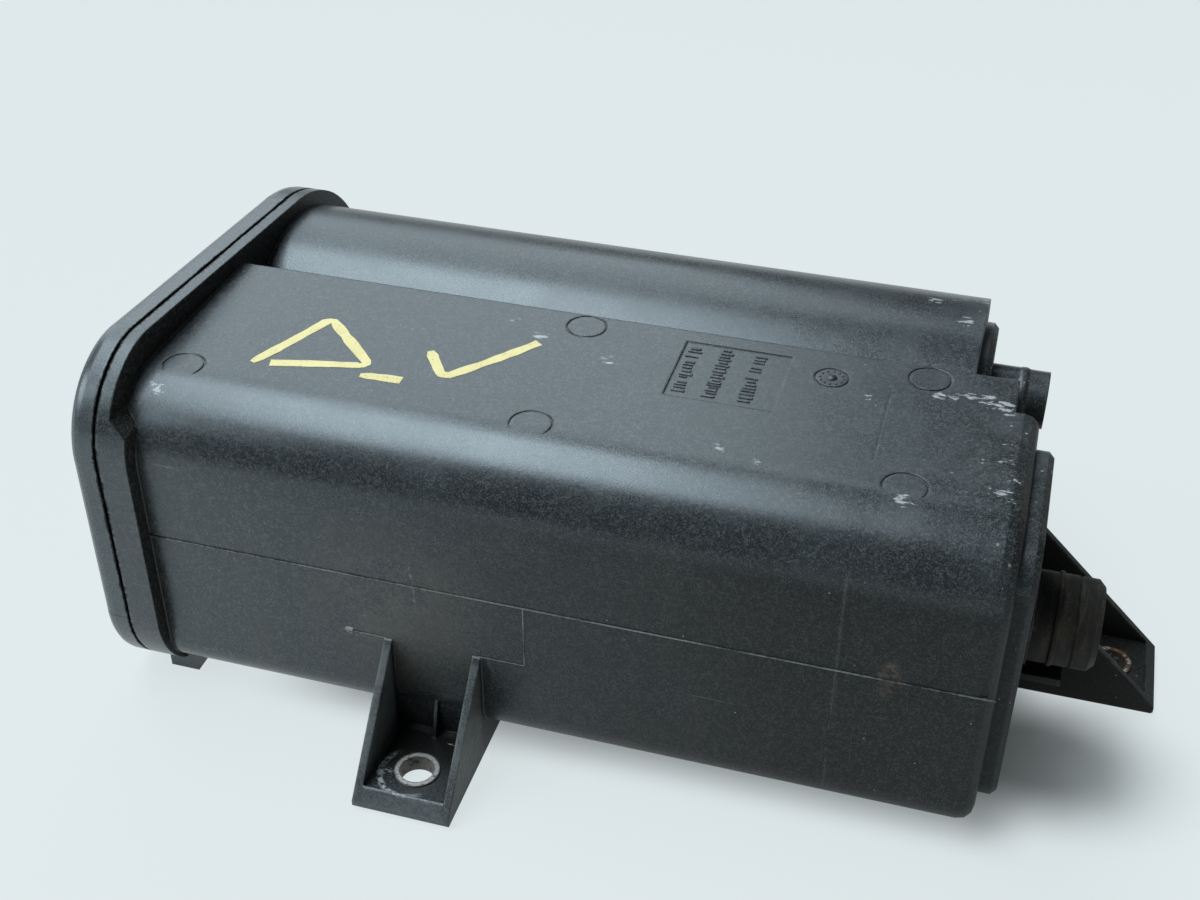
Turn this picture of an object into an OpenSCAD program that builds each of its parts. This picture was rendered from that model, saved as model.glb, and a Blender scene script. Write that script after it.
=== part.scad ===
// Charcoal canister for a car's fuel vapour system
// Millimetres, +Z up. X runs from the welded lid to the port end, the flat front wall faces -Y.
// Origin: middle of the underside, on the plane of the feet.

/* [Housing] */
// Length of the main lobe from the flange face
main_len = 222; // [160:1:300]
// Depth of the main lobe, front wall to partition
main_w = 75; // [55:0.5:100]
// Height of the main lobe
main_h = 87.6; // [70:0.5:120]
// Radius of the upper front edge
main_r_top = 21; // [14:0.5:30]
// Radius of the two lower edges
main_r_low = 10.6; // [6:0.5:16]
// Radius of the crisp rear edge of the flat top
main_r_crisp = 1.2; // [0.6:0.1:3]
// How far the strip beside the groove stops short of the main end
strip_step = 6.2; // [3:0.1:10]
// Width of that strip
strip_w = 15.7; // [10:0.1:22]
// How far the rear lobe stops short of the main end
rear_step = 17.4; // [9:0.1:26]
// Outer radius of the rear lobe
rear_r = 41.8; // [32:0.1:50]
// Axis of the rear lobe behind the partition
rear_off = 32.7; // [26:0.1:36]
// Rear lobe's top below the main lobe's top
rear_drop = 2.5; // [0:0.1:6]
// Rounding of the main lobe's edge at the port end
end_round = 4; // [2:0.1:6]
// Wall thickness
wall = 2.4; // [1.8:0.1:3]

/* [Weld flange and lid] */
// Flange thickness on the body
flange_t = 3.5; // [2.5:0.1:5]
// Flange overhang at front and back
flange_side = 4.4; // [3:0.1:8]
// Flange overhang above the main lobe
flange_lift = 7.9; // [4:0.1:10]
// Flange overhang below the main lobe
flange_low = 6.4; // [4:0.1:9]
// Flange corner radius, upper front
flange_r_top = 26; // [18:0.5:34]
// Flange corner radius, lower front
flange_r_low = 26; // [14:0.5:30]
// Thickness of the rail on the flange
rail_t = 4.6; // [2:0.1:7]
// Upper end of the rail
rail_top = 89; // [60:0.5:95]
// Run of the rail along the underside
rail_run = 16; // [8:0.5:30]
// Length of the block under the flange
block_len = 11; // [6:0.5:20]
// Width of that block
block_w = 18; // [8:0.5:30]
// Height of the lid
lid_t = 7.5; // [6:0.1:14]
// Rounding of the lid's outer edge
lid_edge = 3.6; // [1.5:0.1:5]
// Thickness of the lid's face
lid_skin = 2.6; // [2:0.1:4]
// Width of the lid's welded rim
lid_rim = 8.4; // [7.5:0.1:12]
// Height of the weld bead between flange and lid
bead_h = 0.9; // [0.4:0.1:1.6]

/* [Feet] */
// Width of a foot
foot_w = 26.3; // [22:0.1:36]
// Thickness of a foot's side walls
foot_rib = 2.1; // [1.5:0.1:3]
// Thickness of a foot's base
foot_base = 3.5; // [2.5:0.1:6]
// Raised seat round the sleeve
foot_pad = 0.8; // [0.4:0.1:1.5]
// Height of the lip at the outer end
foot_lip = 2; // [1:0.1:4]
// Thickness of the lip
foot_lip_t = 3; // [2:0.1:5]
// Bevel along the foot's lower outer edge
foot_edge = 0.5; // [0.3:0.1:0.9]
// Middle of the front foot along X
front_foot_x = 82.1; // [50:0.5:160]
// Reach of the front foot
front_foot_d = 28; // [24:0.5:40]
// Height of the front foot at the wall
front_foot_h = 34; // [24:0.5:44]
// Reach of the end foot past the main end
end_foot_d = 44; // [36:0.5:60]
// Middle of the end foot behind the partition
end_foot_off = 3.5; // [0:0.1:10]
// Slope of the end foot's upper edge in degrees
end_foot_slope = 44.5; // [35:0.5:50]
// Sleeve outer diameter
sleeve_od = 12; // [10:0.1:14]
// Sleeve bore for an M8 screw
sleeve_id = 9; // [8.4:0.1:10]
// How far the sleeve stands above its seat
sleeve_proud = 0.5; // [0:0.1:1]
// Sleeve middle from the foot's outer end
sleeve_in = 12.6; // [10:0.1:16]

/* [Ports] */
// Hose tube outer diameter
tube_od = 16; // [10:0.1:20]
// Hose tube bore
tube_id = 12; // [6:0.1:15]
// Bead diameter on the hose tube
bead_od = 16.8; // [10.5:0.1:22]
// Middle of the bead from the hose tube's mouth
bead_in = 7; // [4:0.1:9]
// Extra diameter of the hose tube behind its bead
tube_root = 0.4; // [0.2:0.1:0.6]
// Reach of the hose tube past the rear lobe's end
tube_len = 19.4; // [14:0.1:30]
// Hose tube axis above the rear lobe's axis
tube_up = 18.5; // [0:0.1:22]
// Thickness of the raised plate on the main end
plate_main_t = 4.6; // [2:0.1:6]
// Bevel round the raised plates
plate_edge = 1.4; // [0.6:0.1:2]
// Thickness of the raised disc on the rear end
plate_rear_t = 3.6; // [2:0.1:6]
// Vent stub outer diameter
stub_od = 17; // [14:0.1:20]
// Vent stub bore
stub_id = 13; // [10:0.1:15]
// Length of the vent stub past the raised plate
stub_len = 12; // [8:0.1:18]
// Vent axis above the floor plane
vent_z = 50; // [40:0.5:60]
// Rubber boot outer diameter
boot_od = 23; // [20:0.1:28]
// Rubber boot length
boot_len = 16; // [13:0.1:22]

/* [Bed and springs] */
// Room behind the port pads
plenum = 14; // [8:0.5:20]
// Filter pad thickness
pad_t = 3; // [2:0.1:6]
// Pressure plate thickness
press_t = 3; // [2:0.1:5]
// Place of the pressure plates past the flange face
press_x = 20; // [12:0.5:40]
// Hole diameter in the pressure plates
hole_d = 6.5; // [4:0.1:8]
// Hole spacing
hole_pitch = 10.5; // [9:0.1:14]
// Spring wire
wire_d = 1.6; // [1:0.1:2.4]
// Spring mean radius
spring_r = 8.5; // [6:0.1:11]
// Spring turns
spring_turns = 4; // [3:1:6]
// Side clearance of pads, beds and plates
bed_clear = 0.3; // [0.1:0.05:0.6]

/* [Surface] */
// Height of the parting line on the front wall
seam_z = 53.2; // [40:0.5:70]
// Height and width of moulded lines
line_h = 0.3; // [0.2:0.05:0.6]
// Diameter of the round moulding marks
mark_d = 11; // [7:0.5:14]
// Depth of marks and of the bare label recess
mark_deep = 0.3; // [0.2:0.05:0.5]

/* [Hidden] */
$fn = 96;
eps = 0.01;
// how far a straight run of the outline lies inside the tangent of its rounds
tuck = 0.05;
main_z0 = flange_low;
main_z1 = main_z0 + main_h;
main_yc = main_w / 2;
rear_len = main_len - rear_step;
strip_len = main_len - strip_step;
rear_y = main_w + rear_off;
rear_z = max(main_z1 - rear_drop - rear_r, rear_r + flange_side);
rear_in = rear_r - wall;
flange_r_rear = rear_r + flange_side;
flange_z1 = main_z1 + flange_lift;
lid_x1 = -flange_t - bead_h;
lid_x0 = lid_x1 - lid_t;
lid_face = lid_x0 + lid_skin;
x_min = lid_x0;
x_max = main_len + end_foot_d;
y_min = -front_foot_d;
y_max = rear_y + flange_r_rear;
shift = [-(x_min + x_max) / 2, -(y_min + y_max) / 2, 0];
end_foot_y = main_w + end_foot_off;
plate_x1 = main_len + plate_main_t;
vent_y = main_yc;
main_bed_x1 = main_len - wall - plenum;
rear_bed_x1 = rear_len - wall - plenum * 0.7;
bed_x0 = press_x + press_t + pad_t;
spring_len = press_x - lid_face;
wire_arc = 360 * wire_d * spring_turns / spring_len;
main_spring_dz = 19;
sleeve_len = foot_base + foot_pad + sleeve_proud;
front_sleeve_y = -front_foot_d + sleeve_in;
end_sleeve_x = x_max - sleeve_in;
insert_x = main_len - 37;
dark = [0.16, 0.17, 0.18];

// Which node to draw

// A flat shape drawn as Y and Z, pushed along X
module along_x(x0, len) {
    translate([x0, 0, 0])
        rotate([90, 0, 90])
            linear_extrude(height = len)
                children();
}

// A flat shape drawn as X and Z, pushed along Y
module along_y(y0, len) {
    translate([0, y0 + len, 0])
        rotate([90, 0, 0])
            linear_extrude(height = len)
                children();
}

// A round bar along X
module bar_x(x0, len, y, z, d) {
    translate([x0, y, z])
        rotate([0, 90, 0])
            cylinder(d = d, h = len);
}

// A rectangle with its own radius at each corner: front top, front low, back low, back top
module soft_rect(y0, y1, z0, z1, ft, fl, bl, bt) {
    difference() {
        translate([y0, z0])
            square([y1 - y0, z1 - z0]);
        translate([y0 - 1, z1 - ft])
            square([ft + 1, ft + 1]);
        translate([y0 - 1, z0 - 1])
            square([fl + 1, fl + 1]);
        translate([y1 - bl, z0 - 1])
            square([bl + 1, bl + 1]);
        translate([y1 - bt, z1 - bt])
            square([bt + 1, bt + 1]);
    }
    translate([y0 + ft, z1 - ft])
        circle(r = ft);
    translate([y0 + fl, z0 + fl])
        circle(r = fl);
    translate([y1 - bl, z0 + bl])
        circle(r = bl);
    translate([y1 - bt, z1 - bt])
        circle(r = bt);
}

// Section of the main lobe, shrunk by k
module main_section(k) {
    soft_rect(k, main_w - k, main_z0 + k, main_z1 - k,
              main_r_top - k, main_r_low - k, main_r_low - k, max(main_r_crisp - k, 0.6));
}

// Section of the rear chamber behind the partition, shrunk by k
module rear_section(k) {
    difference() {
        translate([rear_y, rear_z])
            circle(r = rear_in - k);
        translate([main_w + k - 60, rear_z - 60])
            square([60, 120]);
    }
}

// Corner circles of the flange outline as [y, z, r], front top, rear, front low
function rounds(k) = [
    [-flange_side + flange_r_top, flange_z1 - flange_r_top, flange_r_top - k],
    [rear_y, rear_z, flange_r_rear - k],
    [-flange_side + flange_r_low, flange_r_low, flange_r_low - k]];

// Direction of the outer tangent from circle a to circle b, on the left of the way from a to b
function tangent(a, b) = atan2(b[1] - a[1], b[0] - a[0])
    + acos((a[2] - b[2]) / norm([b[0] - a[0], b[1] - a[1]]));
function rim_point(c, ang) = [c[0] + c[2] * cos(ang), c[1] + c[2] * sin(ang)];

// Outline that wraps both lobes, shrunk by k
module outline(k) {
    c = rounds(k);
    s = rounds(k + tuck);
    for (i = [0 : 2])
        translate([c[i][0], c[i][1]])
            circle(r = c[i][2]);
    polygon([for (i = [0 : 2])
        let (a = s[i], b = s[(i + 1) % 3], t = tangent(a, b))
            each [rim_point(a, t), rim_point(b, t)]]);
}

// Cut through a spring's wire across its axis: a slice of a ring
module wire_slice() {
    n = 5;
    inner = spring_r - wire_d / 2;
    outer = spring_r + wire_d / 2;
    polygon([for (i = [0 : n]) inner * [cos(i * wire_arc / n), sin(i * wire_arc / n)],
             for (i = [n : -1 : 0]) outer * [cos(i * wire_arc / n), sin(i * wire_arc / n)]]);
}

// A coil spring along X with ground ends, from the lid to its plate
module spring(y, z) {
    translate([lid_face, y, z])
        rotate([0, 90, 0])
            linear_extrude(height = spring_len, twist = -360 * spring_turns,
                           slices = 20 * spring_turns, $fn = 14)
                wire_slice();
}

// An open foot standing along -Y from the plane y = 0: base, sides, lip and seat
module foot(depth, rise, root) {
    lip_z = foot_lip + foot_lip_t * (rise - foot_lip) / depth;
    for (s = [-1, 1])
        along_x(s * (foot_w - foot_rib) / 2 - foot_rib / 2, foot_rib)
            polygon([[-depth + foot_edge, 0], [root, 0], [root, rise * 0.45], [1.2, rise], [0, rise],
                     [-depth, foot_lip], [-depth, foot_edge]]);
    bevel = (foot_base - foot_lip) * depth / (rise - foot_lip);
    along_x(-foot_w / 2, foot_w)
        polygon([[-depth + foot_edge, 0], [root, 0], [root, foot_base], [-depth + bevel, foot_base],
                 [-depth, foot_lip], [-depth, foot_edge]]);
    along_x(-foot_w / 2, foot_w)
        polygon([[-depth + foot_edge, 0], [-depth + foot_lip_t, 0], [-depth + foot_lip_t, lip_z],
                 [-depth, foot_lip], [-depth, foot_edge]]);
    translate([-foot_w / 2 + foot_rib / 2, -depth + foot_lip_t - 0.5, foot_base - 0.5])
        cube([foot_w - foot_rib, depth - foot_lip_t + 1.5, foot_pad + 0.5]);
}

module foot_hole(x, y) {
    translate([x, y, -1])
        cylinder(d = sleeve_od, h = sleeve_len + 3);
}

module sleeve(x, y) {
    translate([x, y, 0])
        difference() {
            cylinder(d = sleeve_od, h = sleeve_len);
            translate([0, 0, -1])
                cylinder(d = sleeve_id, h = sleeve_len + 2);
        }
}

module ring_mark(x, y, d) {
    translate([x, y, main_z1 - mark_deep])
        difference() {
            cylinder(d = d, h = 2);
            translate([0, 0, -1])
                cylinder(d = d - 0.9, h = 4);
        }
}

// Port end of the main lobe with its edge rounded in three bevels
module main_end() {
    x0 = main_len - end_round;
    hull() {
        along_x(x0 - 1, 1, $fn = 48)
            main_section(tuck);
        for (a = [30 : 30 : 90])
            along_x(x0 + end_round * sin(a) - eps, eps, $fn = 48)
                main_section(end_round * (1 - cos(a)));
    }
}

// Outline of the raised plate on the main end, shrunk by k
module plate_section(k) {
    soft_rect(7 + k, main_w - strip_w - 3 - k, main_z0 + 5 + k, main_z1 - 5 - k, 13 - k, 8 - k, 6 - k, 6 - k);
}

// Raised plate on the main end with a bevelled edge
module main_end_plate() {
    hull() {
        along_x(main_len - 1, plate_main_t + 1 - plate_edge, $fn = 48)
            plate_section(0);
        along_x(plate_x1 - eps, eps, $fn = 48)
            plate_section(plate_edge);
    }
}

module body_outer() {
    // main lobe, with the strip beside the groove cut short
    difference() {
        union() {
            along_x(-eps, main_len - end_round + eps)
                main_section(0);
            main_end();
        }
        translate([strip_len, main_w - strip_w, -5])
            cube([strip_step + 5, strip_w + 5, main_z1 + 10]);
    }
    bar_x(-eps, rear_len + eps, rear_y, rear_z, rear_r * 2);
    // welding flange and its rail
    along_x(-flange_t, flange_t)
        outline(0);
    along_x(lid_x1, bead_h + 0.5)
        outline(1.1);
    intersection() {
        along_x(-0.5, rail_t + 0.5)
            outline(0);
        along_y(-20, 20 + rail_run)
            polygon([[-1, -5], [rail_t, -5], [rail_t, rail_top - 4], [0, rail_top], [-1, rail_top]]);
    }
    // block under the flange
    along_y(main_r_low * 0.6, block_w)
        polygon([[-1, 0.6], [block_len - 3.5, 0.6], [block_len, main_z0 + 3], [-1, main_z0 + 3]]);
    // raised end plates
    main_end_plate();
    translate([rear_len, rear_y, rear_z])
        rotate([0, 90, 0])
            rotate_extrude()
                polygon([[0, -1], [rear_r - 6.5, -1], [rear_r - 6.5, plate_rear_t - plate_edge],
                         [rear_r - 6.5 - plate_edge, plate_rear_t], [0, plate_rear_t]]);
    // hose tube with its bead
    bar_x(rear_len, tube_len, rear_y, rear_z + tube_up, tube_od);
    bar_x(rear_len, tube_len - bead_in, rear_y, rear_z + tube_up, tube_od + tube_root);
    translate([rear_len + tube_len - bead_in, rear_y, rear_z + tube_up])
        rotate([0, 90, 0])
            rotate_extrude()
                polygon([[0, -1.6], [tube_od / 2, -1.6], [bead_od / 2, -0.6],
                         [bead_od / 2, 0.6], [tube_od / 2, 1.6], [0, 1.6]]);
    // vent stub on its collar, with the tongue below the boot
    bar_x(main_len, plate_main_t + 1.6, vent_y, vent_z, boot_od + 2.4);
    bar_x(main_len, plate_main_t + stub_len, vent_y, vent_z, stub_od);
    translate([main_len, vent_y - 7, vent_z - boot_od / 2 - 4.2])
        cube([plate_main_t + 11, 14, 2]);
    // feet
    translate([front_foot_x, 0, 0])
        foot(front_foot_d, front_foot_h, 14);
    along_x(front_foot_x - foot_w / 2, foot_w)
        polygon([[0.4, 0], [14, 0], [14, main_z0 + 2], [0.4, main_z0 + main_r_low]]);
    along_x(front_foot_x - 0.5, 1)
        polygon([[-3.4, foot_base], [3, foot_base], [3, 16], [0, 15]]);
    end_foot();
    // parting line and slide line on the front wall
    translate([rail_t - 1, -line_h, seam_z - line_h / 2])
        cube([main_len - rail_t + 1, line_h + 0.5, line_h]);
    for (x = [front_foot_x - 24.5, front_foot_x + foot_w / 2 - 0.5])
        translate([x, -line_h * 0.7, front_foot_h])
            cube([x < front_foot_x ? 24.5 - foot_w / 2 + 0.5 : 12.2, line_h + 0.5, line_h]);
    translate([front_foot_x + foot_w / 2 + 11.7, -line_h * 0.7, front_foot_h])
        cube([line_h, line_h + 0.5, seam_z - front_foot_h]);
}

// The foot at the port end: two walls cut by one slope, base, lip and seat
module end_foot() {
    rise = foot_lip + (x_max - rear_len) * tan(end_foot_slope);
    lip_z = foot_lip + foot_lip_t * tan(end_foot_slope);
    y0 = end_foot_y - foot_w / 2;
    for (y = [y0, y0 + foot_w - foot_rib])
        along_y(y, foot_rib)
            polygon([[x_max - foot_edge, 0], [rear_len - 1, 0], [rear_len - 1, rise], [rear_len, rise],
                     [x_max, foot_lip], [x_max, foot_edge]]);
    bevel = (foot_base - foot_lip) / tan(end_foot_slope);
    along_y(y0, foot_w)
        polygon([[x_max - foot_edge, 0], [rear_len - 1, 0], [rear_len - 1, foot_base],
                 [x_max - bevel, foot_base], [x_max, foot_lip], [x_max, foot_edge]]);
    along_y(y0, foot_w)
        polygon([[x_max - foot_edge, 0], [x_max - foot_lip_t, 0], [x_max - foot_lip_t, lip_z],
                 [x_max, foot_lip], [x_max, foot_edge]]);
    translate([rear_len - 1, y0 + foot_rib / 2, foot_base - 0.5])
        cube([x_max - rear_len + 1.5 - foot_lip_t, foot_w - foot_rib, foot_pad + 0.5]);
    // root wall under the rear lobe
    translate([rear_len - wall, y0, 0])
        cube([wall, foot_w, rear_z]);
}

module body_hollow() {
    // main chamber, its short strip and the pocket in the raised plate
    difference() {
        along_x(lid_x1 - 1, main_len - wall - lid_x1 + 1)
            main_section(wall);
        translate([strip_len - wall, main_w - strip_w - wall, -5])
            cube([strip_step + 10, strip_w + 10, main_z1 + 10]);
        // standing ribs that carry the port pad
        for (y = [main_w * 0.27, main_w * 0.5, main_w * 0.73])
            translate([main_bed_x1, y - 0.9, 0])
                cube([60, 1.8, main_z1 + 5]);
    }
    along_x(main_len - wall - 1, plate_main_t + 1)
        plate_section(wall);
    difference() {
        along_x(lid_x1 - 1, rear_len - wall - lid_x1 + 1)
            rear_section(0);
        for (y = [rear_y - 13, rear_y + 13])
            translate([rear_bed_x1, y - 0.9, 0])
                cube([60, 1.8, main_z1 + 5]);
    }
    // bores
    bar_x(rear_len - wall - 2, tube_len + wall + 4, rear_y, rear_z + tube_up, tube_id);
    bar_x(main_len - 1, plate_main_t + stub_len + 3, vent_y, vent_z, stub_id);
    foot_hole(front_foot_x, front_sleeve_y);
    foot_hole(end_sleeve_x, end_foot_y);
    // round moulding marks, date ring and bare label recess on the flat top
    for (x = [main_len * 0.044, main_len * 0.465, main_len * 0.873])
        ring_mark(x, 21, mark_d);
    for (x = [main_len * 0.465, main_len * 0.873])
        ring_mark(x, main_w - 6.6, mark_d);
    ring_mark(main_len * 0.765, main_w - 13, 9);
    translate([main_len * 0.588, main_w - 32.4, main_z1 - mark_deep])
        cube([28, 26.4, 2]);
    // insert line across the flat top and down the front wall
    translate([insert_x, main_r_top + 8, main_z1 - mark_deep * 0.25])
        cube([line_h, main_w - main_r_top - 24, 2]);
    translate([insert_x, -2, 28])
        cube([line_h, 2 + mark_deep * 0.25, 22]);
}

module canister_body() {
    color(dark)
        translate(shift)
            difference() {
                body_outer();
                body_hollow();
            }
}

// Section of the lid's edge with its rounding, the outer face at r, w deep
module rim_section(r, w) {
    polygon([[r - w, 0], [r - lid_edge, 0],
             for (a = [22.5 : 22.5 : 67.5]) [r - lid_edge * (1 - sin(a)), lid_edge * (1 - cos(a))],
             [r, lid_edge], [r, lid_t], [r - w, lid_t]]);
}

// Rim of the lid: a turned piece at each corner of the outline, and a straight run keyed into their ends
module lid_ring() {
    c = rounds(0);
    key = 1;
    for (i = [0 : 2]) {
        here = c[i];
        after = c[(i + 1) % 3];
        t_in = tangent(c[(i + 2) % 3], here);
        t_out = tangent(here, after);
        p = rim_point(here, t_out);
        q = rim_point(after, t_out);
        translate([lid_x0, here[0], here[1]])
            rotate([90, 0, 90])
                rotate([0, 0, t_out])
                    rotate_extrude(angle = (t_in - t_out + 720) % 360)
                        rim_section(here[2], lid_rim);
        translate([lid_x0, p[0], p[1]])
            rotate([90, 0, 90])
                rotate([90, 0, t_out])
                    translate([0, 0, -key])
                        linear_extrude(height = norm(q - p) + 2 * key)
                            rim_section(-tuck, lid_rim - 2 * tuck);
    }
}

// Welded cover, wrapped round the same three corners as the flange
module end_lid() {
    color([0.14, 0.15, 0.16])
        translate(shift) {
            lid_ring();
            along_x(lid_x0, lid_skin)
                outline(lid_rim - 0.6);
            for (p = [[main_yc, rear_z - main_spring_dz], [main_yc, rear_z + main_spring_dz], [rear_y, rear_z]])
                spring_cup(p[0], p[1]);
        }
}

// Low ring on the lid that holds a spring's end
module spring_cup(y, z) {
    difference() {
        bar_x(lid_face - 1, 4, y, z, spring_r * 2 + wire_d + 5);
        bar_x(lid_face - 2, 8, y, z, spring_r * 2 + wire_d + 0.8);
    }
}

module front_foot_sleeve() {
    color([0.62, 0.6, 0.57])
        translate(shift)
            sleeve(front_foot_x, front_sleeve_y);
}

module end_foot_sleeve() {
    color([0.62, 0.6, 0.57])
        translate(shift)
            sleeve(end_sleeve_x, end_foot_y);
}

// Rubber boot on the vent stub: ridge, chamfered mouth and an inner stop
module vent_boot() {
    x0 = plate_x1 + 1.6;
    r = boot_od / 2;
    color([0.2, 0.18, 0.16])
        translate(shift)
            translate([x0, vent_y, vent_z])
                rotate([0, 90, 0])
                    rotate_extrude()
                        polygon([[stub_od / 2, 0], [r, 0], [r, 4.6], [r + 0.5, 5], [r + 0.5, 5.8], [r, 6.2],
                                 [r, boot_len * 0.6], [r - 0.4, boot_len * 0.6 + 0.4],
                                 [r, boot_len * 0.6 + 0.8],
                                 [r, boot_len - 1.6], [r - 1.6, boot_len], [stub_id / 2 + 1.4, boot_len],
                                 [stub_id / 2, boot_len - 1.4], [stub_id / 2, stub_len - 1.6],
                                 [stub_od / 2, stub_len - 1.6]]);
}

module main_slab(x0, len, k) {
    translate(shift)
        along_x(x0, len)
            main_section(wall + k);
}

module rear_slab(x0, len, k) {
    translate(shift)
        along_x(x0, len)
            rear_section(k);
}

module main_carbon() {
    color([0.09, 0.09, 0.09])
        main_slab(bed_x0, main_bed_x1 - pad_t - bed_x0, bed_clear);
}

module rear_carbon() {
    color([0.09, 0.09, 0.09])
        rear_slab(bed_x0, rear_bed_x1 - pad_t - bed_x0, bed_clear);
}

module main_port_fleece() {
    color([0.8, 0.79, 0.75])
        main_slab(main_bed_x1 - pad_t, pad_t, bed_clear);
}

module main_lid_fleece() {
    color([0.8, 0.79, 0.75])
        main_slab(press_x + press_t, pad_t, bed_clear);
}

module rear_port_fleece() {
    color([0.8, 0.79, 0.75])
        rear_slab(rear_bed_x1 - pad_t, pad_t, bed_clear);
}

module rear_lid_fleece() {
    color([0.8, 0.79, 0.75])
        rear_slab(press_x + press_t, pad_t, bed_clear);
}

// Pressure plate of the main bed with its rows of holes
module main_plate() {
    ny = floor((main_w - wall * 2 - 16) / hole_pitch);
    nz = floor((main_h - wall * 2 - 16) / hole_pitch);
    zc = (main_z0 + main_z1) / 2;
    color([0.3, 0.31, 0.32])
        difference() {
            main_slab(press_x, press_t, bed_clear);
            translate(shift)
                for (i = [-ny / 2 : ny / 2], j = [-nz / 2 : nz / 2])
                    bar_x(press_x - 1, press_t + 2, main_yc + i * hole_pitch, zc + j * hole_pitch, hole_d);
        }
}

// Pressure plate of the rear bed with rings of holes
module rear_plate() {
    color([0.3, 0.31, 0.32])
        difference() {
            rear_slab(press_x, press_t, bed_clear);
            translate(shift)
                for (r = [1 : 2], a = [0 : 60 / r : 359])
                    bar_x(press_x - 1, press_t + 2, rear_y + 2 + r * hole_pitch * 1.15 * cos(a),
                          rear_z + r * hole_pitch * 1.15 * sin(a), hole_d);
        }
}

module main_spring_low() {
    color([0.6, 0.6, 0.6])
        translate(shift)
            spring(main_yc, rear_z - main_spring_dz);
}

module main_spring_high() {
    color([0.6, 0.6, 0.6])
        translate(shift)
            spring(main_yc, rear_z + main_spring_dz);
}

module rear_spring() {
    color([0.6, 0.6, 0.6])
        translate(shift)
            spring(rear_y, rear_z);
}

canister_body();
end_lid();
front_foot_sleeve();
end_foot_sleeve();
vent_boot();
main_carbon();
rear_carbon();
main_port_fleece();
main_lid_fleece();
rear_port_fleece();
rear_lid_fleece();
main_plate();
rear_plate();
main_spring_low();
main_spring_high();
rear_spring();
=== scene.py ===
import bpy
import bmesh
import math
import random
from mathutils import Matrix, Vector, noise


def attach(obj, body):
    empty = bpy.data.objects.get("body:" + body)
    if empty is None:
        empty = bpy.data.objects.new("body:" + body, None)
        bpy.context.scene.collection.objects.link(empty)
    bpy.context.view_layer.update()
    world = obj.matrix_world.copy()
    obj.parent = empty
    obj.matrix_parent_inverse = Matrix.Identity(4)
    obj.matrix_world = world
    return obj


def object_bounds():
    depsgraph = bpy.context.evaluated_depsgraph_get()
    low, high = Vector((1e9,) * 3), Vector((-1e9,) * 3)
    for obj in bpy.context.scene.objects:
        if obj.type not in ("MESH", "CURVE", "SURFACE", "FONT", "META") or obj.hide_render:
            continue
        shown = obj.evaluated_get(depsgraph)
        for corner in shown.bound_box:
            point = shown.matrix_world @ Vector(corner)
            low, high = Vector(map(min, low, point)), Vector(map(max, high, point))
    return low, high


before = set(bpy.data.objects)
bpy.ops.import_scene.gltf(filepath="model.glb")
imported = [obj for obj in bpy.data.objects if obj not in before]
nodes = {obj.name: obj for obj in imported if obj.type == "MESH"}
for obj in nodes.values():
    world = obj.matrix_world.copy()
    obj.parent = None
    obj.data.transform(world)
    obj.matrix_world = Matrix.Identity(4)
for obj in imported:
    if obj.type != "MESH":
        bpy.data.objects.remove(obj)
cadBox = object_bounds()
print("canister frame:", len(nodes), "nodes")

# where the drawing's zero lies in the frame: flange face, front wall, feet
drawing = {"flangeX": -0.12705, "wallY": -0.06295}
mm = 0.001


def alongX(x):
    return drawing["flangeX"] + x * mm


def alongY(y):
    return drawing["wallY"] + y * mm


def at(x, y, z):
    return Vector((alongX(x), alongY(y), z * mm))


# shader helpers
class Val:  # a socket that can stand in a sum
    def __init__(self, tree, out):
        self.tree = tree
        self.out = out

    def calc(self, operation, a, b=0.0, clamp=False):
        node = self.tree.nodes.new("ShaderNodeMath")
        node.operation = operation
        node.use_clamp = clamp
        for plug, value in zip(node.inputs, (a, b)):
            if isinstance(value, Val):
                self.tree.links.new(value.out, plug)
            else:
                plug.default_value = value
        return Val(self.tree, node.outputs[0])

    def __add__(self, other):
        return self.calc("ADD", self, other)

    def __sub__(self, other):
        return self.calc("SUBTRACT", self, other)

    def __rsub__(self, other):
        return self.calc("SUBTRACT", other, self)

    def __mul__(self, other):
        return self.calc("MULTIPLY", self, other)

    def __abs__(self):
        return self.calc("ABSOLUTE", self)

    def __or__(self, other):  # the larger of two masks
        return self.calc("MAXIMUM", self, other)

    def clip(self):
        return self.calc("ADD", self, 0.0, True)

    __radd__ = __add__
    __rmul__ = __mul__
    __ror__ = __or__


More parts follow.
